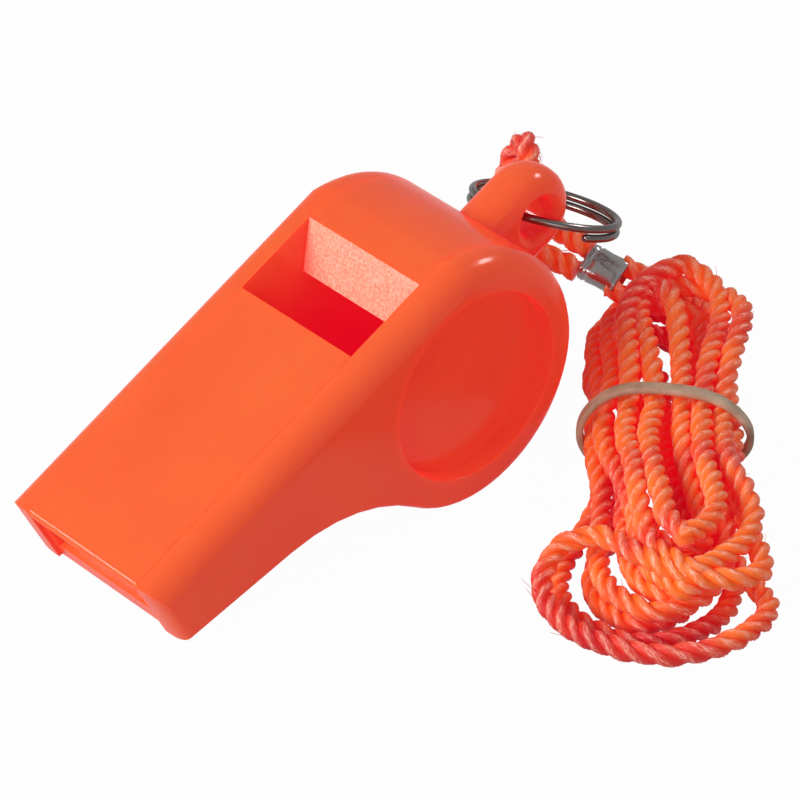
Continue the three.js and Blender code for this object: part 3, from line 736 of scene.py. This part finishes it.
def loop_line():
    """The cord's centre line round the ring, from one side of the ferrule to the other."""
    middle = -(RING_WIRE_DIAMETER + RING_COIL_GAP) / 2
    outward = Vector((math.cos(WRAP_ANGLE), math.sin(WRAP_ANGLE), 0))
    onward = Vector((math.sin(WRAP_ANGLE), -math.cos(WRAP_ANGLE), 0))
    near_face = FERRULE_CENTRE - FERRULE_DIRECTION * (FERRULE_LENGTH / 2 + CORD_GAP)
    half = CORD_SPACING_IN_FERRULE / 2
    backs = (0, 0.5 * CORD_DIAMETER, CORD_DIAMETER)
    points = [near_face - FERRULE_DIRECTION * back + FERRULE_ACROSS * half for back in backs]
    for i in range(WRAP_STEPS + 1):
        turns = WRAP_TURNS * i / WRAP_STEPS
        turn = 2 * math.pi * turns
        place = outward * (RING_MEAN_RADIUS + WRAP_WIDTH * math.cos(turn))
        place += onward * (WRAP_PITCH * (WRAP_TURNS / 2 - turns))
        points.append(ring_place(place.x, place.y, middle + WRAP_HEIGHT * math.sin(turn)))
    points += [near_face - FERRULE_DIRECTION * back - FERRULE_ACROSS * half for back in reversed(backs)]
    return catmull_rom(points, CORD_STEP)


loop = loop_line()
hank = hank_line()
cord_loop = make_cord("cord_round_ring", loop, "cord_loop", seed=5, hairs=150, fullness=1.12)
cord_hank = make_cord("cord_in_hank", hank, "cord_hank", seed=8, hairs=260, fullness=0.98)


# Ferrule, ring, band and pea

FERRULE_SIDES = 64
FERRULE_WALL = 0.4
FERRULE_LAP = 0.1
FERRULE_LAP_END = 0.2
FERRULE_UV_STEP = 0.1
# Each ring of the sleeve: its place along the length, how far it is pressed in, and whether it has the lap
FERRULE_RINGS = ((-0.5, 0.3, True), (-0.48, 0.2, True), (-0.37, 0.18, True), (-0.34, 0.28, True),
                 (-0.3, 0.28, True), (-0.27, 0.18, True), (0, 0.24, True), (0.3, 0.2, True),
                 (0.47, 0.18, True), (0.5, 0.26, True), (0.5, FERRULE_WALL, False),
                 (0.2, FERRULE_WALL, False), (-0.2, FERRULE_WALL, False), (-0.5, FERRULE_WALL, False))


def ferrule_section(pressed_in, lapped):
    """A flat oval; where the sleeve's edges meet, one half of its top is a little higher."""
    ring = []
    radius = FERRULE_THICKNESS / 2 - pressed_in
    flat = FERRULE_WIDTH / 2 - FERRULE_THICKNESS / 2
    for k in range(FERRULE_SIDES):
        angle = 2 * math.pi * k / FERRULE_SIDES
        stretch = math.copysign(flat, math.cos(angle)) * min(1, 3 * abs(math.cos(angle)))
        x = radius * math.cos(angle) + stretch
        y = radius * math.sin(angle)
        if lapped and y > 0 and x < FERRULE_LAP_END:
            y += FERRULE_LAP
        ring.append((x, y))
    return ring


def make_ferrule():
    """A crimped sleeve: a flat oval wall with open ends, and a lap where its edges meet."""
    up = FERRULE_DIRECTION.cross(FERRULE_ACROSS).normalized()
    side = up.cross(FERRULE_DIRECTION)
    rings = []
    for place, pressed_in, lapped in FERRULE_RINGS:
        centre = FERRULE_CENTRE + FERRULE_DIRECTION * (place * FERRULE_LENGTH)
        rings.append([centre + side * x + up * y for x, y in ferrule_section(pressed_in, lapped)])
    points, faces = hoop(rings)
    uvs = []
    for i in range(len(rings)):
        low, high = FERRULE_UV_STEP * i, FERRULE_UV_STEP * (i + 1)
        for k in range(FERRULE_SIDES):
            left, right = k / FERRULE_SIDES, (k + 1) / FERRULE_SIDES
            uvs += [(low, left), (low, right), (high, right), (high, left)]
    piece = add_mesh("crimped_ferrule", points, faces, ferrule_steel, "lanyard", "ferrule_steel", uvs)
    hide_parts("ferrule")
    return piece


RING_STEPS = 420
RING_SIDES = 14
RING_END_ROUNDING = 0.12
RING_END_TAPER = 0.6


def make_ring():
    """A wire coil of almost two turns that climbs from one turn to the next, with rounded ends."""
    line = []
    for i in range(RING_STEPS + 1):
        angle = RING_FIRST_END + (RING_LAST_END - RING_FIRST_END) * i / RING_STEPS
        climbed = smooth((angle - RING_CLIMB_START) / (RING_CLIMB_END - RING_CLIMB_START))
        level = (climbed - 1) * (RING_WIRE_DIAMETER + RING_COIL_GAP)
        line.append(ring_place(RING_MEAN_RADIUS * math.cos(angle), RING_MEAN_RADIUS * math.sin(angle), level))
    along = lengths_along(line)
    rings = []
    for place, (side, up), s in zip(line, frames_along(line), along):
        from_end = min(s, along[-1] - s)
        radius = RING_WIRE_DIAMETER / 2 - max(0, RING_END_ROUNDING - from_end) * RING_END_TAPER
        rings.append(ring_round(place, side, up, radius, radius, RING_SIDES))
    points, faces, uvs = tube(rings, along)
    piece = add_mesh("split_ring_wire", points, faces, ring_steel, "split_ring", "ring_steel", uvs)
    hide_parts("split_ring")


BAND_SQUARENESS = 0.94
BAND_STEPS = 120
BAND_SIDES = 12
BAND_CORNER_SHARPNESS = 0.5
BAND_ROOM = 0.1
BAND_SLOW_SWAY = 0.35
BAND_SLOW_SWAY_START = 0.6
BAND_QUICK_SWAY = 0.12
LEAST_BAND_HEIGHT = 0.02


def power(value, exponent):
    """A power that keeps the sign."""
    return math.copysign(abs(value) ** exponent, value)


def make_band():
    """A flat rubber band round the waist of the hank, a little wavy."""
    half_width = ROUND_HALF_WIDTH + CORD_RADIUS + BAND_ROOM
    half_height = ROUND_HALF_HEIGHT + CORD_RADIUS + BAND_ROOM
    rings = []
    for i in range(BAND_STEPS):
        angle = 2 * math.pi * i / BAND_STEPS
        c, s = math.cos(angle), math.sin(angle)
        sway = BAND_SLOW_SWAY * math.sin(2 * angle + BAND_SLOW_SWAY_START)
        sway += BAND_QUICK_SWAY * math.sin(5 * angle)
        across = WAIST_SHIFT + power(c, BAND_SQUARENESS) * (half_width + BAND_THICKNESS / 2)
        height = ROUND_MIDDLE + power(s, BAND_SQUARENESS) * (half_height + BAND_THICKNESS / 2)
        normal = Vector((c / half_width, s / half_height)).normalized()
        ring = []
        for k in range(BAND_SIDES):
            turn = 2 * math.pi * k / BAND_SIDES
            out = power(math.sin(turn), BAND_CORNER_SHARPNESS) * BAND_THICKNESS / 2
            wide = power(math.cos(turn), BAND_CORNER_SHARPNESS) * BAND_WIDTH / 2
            ring.append(hank_place(HANK_WAIST_PLACE + sway + wide, across + normal.x * out,
                                   max(height + normal.y * out, LEAST_BAND_HEIGHT)))
        rings.append(ring)
    piece = add_mesh("band_round_hank", *hoop(rings), rubber, "lanyard", "tan_rubber")
    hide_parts("rubber_band")
    return piece


PEA_SEGMENTS = 48
PEA_RINGS = 32


def make_pea():
    """A cork ball where the part's pea is."""
    low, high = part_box("pea")
    centre = (low + high) / 2
    mesh = bpy.data.meshes.new("cork_ball")
    shape = bmesh.new()
    radius = PEA_DIAMETER / 2 * MM
    bmesh.ops.create_uvsphere(shape, u_segments=PEA_SEGMENTS, v_segments=PEA_RINGS, radius=radius)
    bmesh.ops.translate(shape, verts=shape.verts, vec=centre)
    shape.to_mesh(mesh)
    shape.free()
    mesh.polygons.foreach_set("use_smooth", [True] * len(mesh.polygons))
    mesh.materials.append(cork)
    piece = bpy.data.objects.new("cork_ball", mesh)
    scene.collection.objects.link(piece)
    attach(piece, "pea")
    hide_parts("pea")


ferrule = make_ferrule()
make_ring()
band = make_band()
make_pea()


# Moulded pieces: the part's own solids with eased edges

EDGE_ANGLE = math.radians(32)
EDGE_EASING = 0.045
EDGE_SEGMENTS = 3
WELD_DISTANCE = 0.002
FLAT_ANGLE = math.radians(0.6)
LARGE_FACE_WEIGHT = 80
SEAM_REACH = 0.08
SEAM_LEFT_OPEN = 0.01


def own_frame(point):
    """A point of the scene in the whistle's own frame, in millimetres."""
    return whistle_turn().transposed() @ (Vector(point) / MM - whistle_place(0, 0, 0))


def close_seams(shape):
    """Bring the faces on both sides of a seam together, since the real covers are welded on."""
    for vertex in shape.verts:
        out = abs(vertex.co.y) / MM - SEAM_HALF_WIDTH
        if abs(out) < SEAM_REACH:
            half_width = SEAM_HALF_WIDTH + math.copysign(SEAM_LEFT_OPEN / 2, out)
            vertex.co.y = math.copysign(half_width * MM, vertex.co.y)


def moulding_mesh(name, node):
    """A copy of the node's mesh with its flat faces joined, ready for its edges to be eased."""
    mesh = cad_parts[node].data.copy()
    mesh.name = name
    mesh.materials.clear()
    mesh.materials.append(plastic)
    shape = bmesh.new()
    shape.from_mesh(mesh)
    bmesh.ops.remove_doubles(shape, verts=shape.verts, dist=WELD_DISTANCE * MM)
    close_seams(shape)
    bmesh.ops.dissolve_limit(shape, angle_limit=FLAT_ANGLE, verts=shape.verts, edges=shape.edges)
    shape.to_mesh(mesh)
    shape.free()
    mesh.polygons.foreach_set("use_smooth", [True] * len(mesh.polygons))
    return mesh


def make_moulding(name, node):
    """A moulded piece whose sharp edges are rounded a little."""
    piece = bpy.data.objects.new(name, moulding_mesh(name, node))
    scene.collection.objects.link(piece)
    bevel = piece.modifiers.new("eased_edges", "BEVEL")
    bevel.width = EDGE_EASING * MM
    bevel.segments = EDGE_SEGMENTS
    bevel.limit_method = "ANGLE"
    bevel.angle_limit = EDGE_ANGLE
    bevel.miter_outer = "MITER_ARC"
    weighted = piece.modifiers.new("even_shading", "WEIGHTED_NORMAL")
    weighted.weight = LARGE_FACE_WEIGHT
    weighted.keep_sharp = True
    bpy.context.view_layer.update()
    depsgraph = bpy.context.evaluated_depsgraph_get()
    baked = bpy.data.meshes.new_from_object(piece.evaluated_get(depsgraph), depsgraph=depsgraph)
    piece.modifiers.clear()
    piece.data = baked
    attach(piece, "whistle")
    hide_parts(node)
    return piece


RAMP_REACH = 0.3
RAMP_TOP_REACH = 0.05
RAMP_FACING_SHARE = 0.97


def roughen_ramp(moulding):
    """The ramp's face under the window is rough from its mould."""
    moulding.data.materials.append(ramp_plastic)
    rough_slot = len(moulding.data.materials) - 1
    facing = Vector((-math.sin(RAMP_SLOPE), 0, math.cos(RAMP_SLOPE)))
    lowest_x = WINDOW_END - RAMP_DEPTH / math.tan(RAMP_SLOPE) - RAMP_REACH
    lowest_z = -RAMP_DEPTH - RAMP_REACH
    for polygon in moulding.data.polygons:
        centre = own_frame(polygon.center)
        normal = (own_frame(polygon.center + polygon.normal * MM) - centre).normalized()
        within_length = lowest_x < centre.x < WINDOW_END + RAMP_TOP_REACH
        within_depth = lowest_z < centre.z < RAMP_TOP_REACH
        if within_length and within_depth and normal.dot(facing) > RAMP_FACING_SHARE:
            polygon.material_index = rough_slot


shell = make_moulding("whistle_shell", "centre_body")
make_moulding("near_side", "near_cover")
make_moulding("far_side", "far_cover")
roughen_ramp(shell)


CORD_PATH_STEP = 3


def metres(point):
    return tuple(value * MM for value in point)


for piece, line, parts in ((cord_loop, loop, []), (cord_hank, hank, [ferrule, band])):
    path = [metres(point) for point in line[::CORD_PATH_STEP]]
    if path[-1] != metres(line[-1]):
        path.append(metres(line[-1]))


# Floor, world and lights

FLOOR_HALF = 3.0
FLOOR_DROP = 0.05
FLOOR_GREY = 0.35
FLOOR_WHITE_SHARE = 0.98
GLOSSY_WHITE_SHARE = 0.3
WORLD_LIGHT = 0.22


def white_share(graph):
    """How white the background shows: fully to the camera and through glass, in part in a gloss."""
    paths = graph.add("ShaderNodeLightPath")
    glossy = graph.calculate("MULTIPLY", (paths, "Is Glossy Ray"), GLOSSY_WHITE_SHARE)
    seen = graph.calculate("MAXIMUM", (paths, "Is Camera Ray"), (glossy, 0))
    return graph.calculate("MAXIMUM", (seen, 0), (paths, "Is Transmission Ray"))


def join_shaders(graph, share, plain, white, output_name):
    """Send a mix of two shaders, by the share of the second, to the output."""
    mix = graph.add("ShaderNodeMixShader")
    graph.join(share, 0, mix, "Fac")
    graph.join(plain, 0, mix, 1)
    graph.join(white, 0, mix, 2)
    graph.join(mix, 0, graph.tree.nodes[output_name], "Surface")


def add_floor():
    """A floor that shows white and keeps the object's shadow, and throws little light back."""
    nodes = Nodes("pale_floor")
    nodes.set(Roughness=0.9, Specular_IOR_Level=0.1, Base_Color=(*grey(FLOOR_GREY), 1))
    share = nodes.calculate("MULTIPLY", (white_share(nodes), 0), FLOOR_WHITE_SHARE)
    join_shaders(nodes, share, nodes.shader, nodes.add("ShaderNodeEmission"), "Material Output")
    mesh = bpy.data.meshes.new("floor")
    corners = [(-FLOOR_HALF, -FLOOR_HALF, 0), (FLOOR_HALF, -FLOOR_HALF, 0),
               (FLOOR_HALF, FLOOR_HALF, 0), (-FLOOR_HALF, FLOOR_HALF, 0)]
    mesh.from_pydata(corners, [], [(0, 1, 2, 3)])
    mesh.materials.append(nodes.material)
    floor = bpy.data.objects.new("floor", mesh)
    floor.location.z = -FLOOR_DROP * MM
    scene.collection.objects.link(floor)


def add_world():
    world = bpy.data.worlds.new("studio")
    scene.world = world
    graph = Graph(world)
    background = graph.tree.nodes["Background"]
    background.inputs["Color"].default_value = (1, 1, 1, 1)
    background.inputs["Strength"].default_value = WORLD_LIGHT
    white = graph.add("ShaderNodeBackground")
    join_shaders(graph, white_share(graph), background, white, "World Output")


LIT_PLACE = Vector((0, -10, 10))


def add_softbox(name, place, size, power):
    """An area lamp at a place in millimetres, of a size in metres, that faces the object."""
    light = bpy.data.lights.new(name, "AREA")
    light.shape = "RECTANGLE"
    light.size, light.size_y = size
    light.energy = power
    lamp = bpy.data.objects.new(name, light)
    scene.collection.objects.link(lamp)
    lamp.matrix_world = look_rotation(Vector(place), LIT_PLACE, 0).to_4x4()
    lamp.location = Vector(place) * MM


add_floor()
add_world()
add_softbox("key", (-545, 120, 360), (0.3, 0.3), 2.8)
add_softbox("fill", (-300, -560, 150), (0.4, 0.4), 0.6)
add_softbox("rim", (455, -85, 435), (0.16, 0.1), 0.9)
add_softbox("lip", (-400, 390, 335), (0.07, 0.07), 0.8)
add_softbox("corner", (-530, -250, 270), (0.05, 0.2), 0.35)
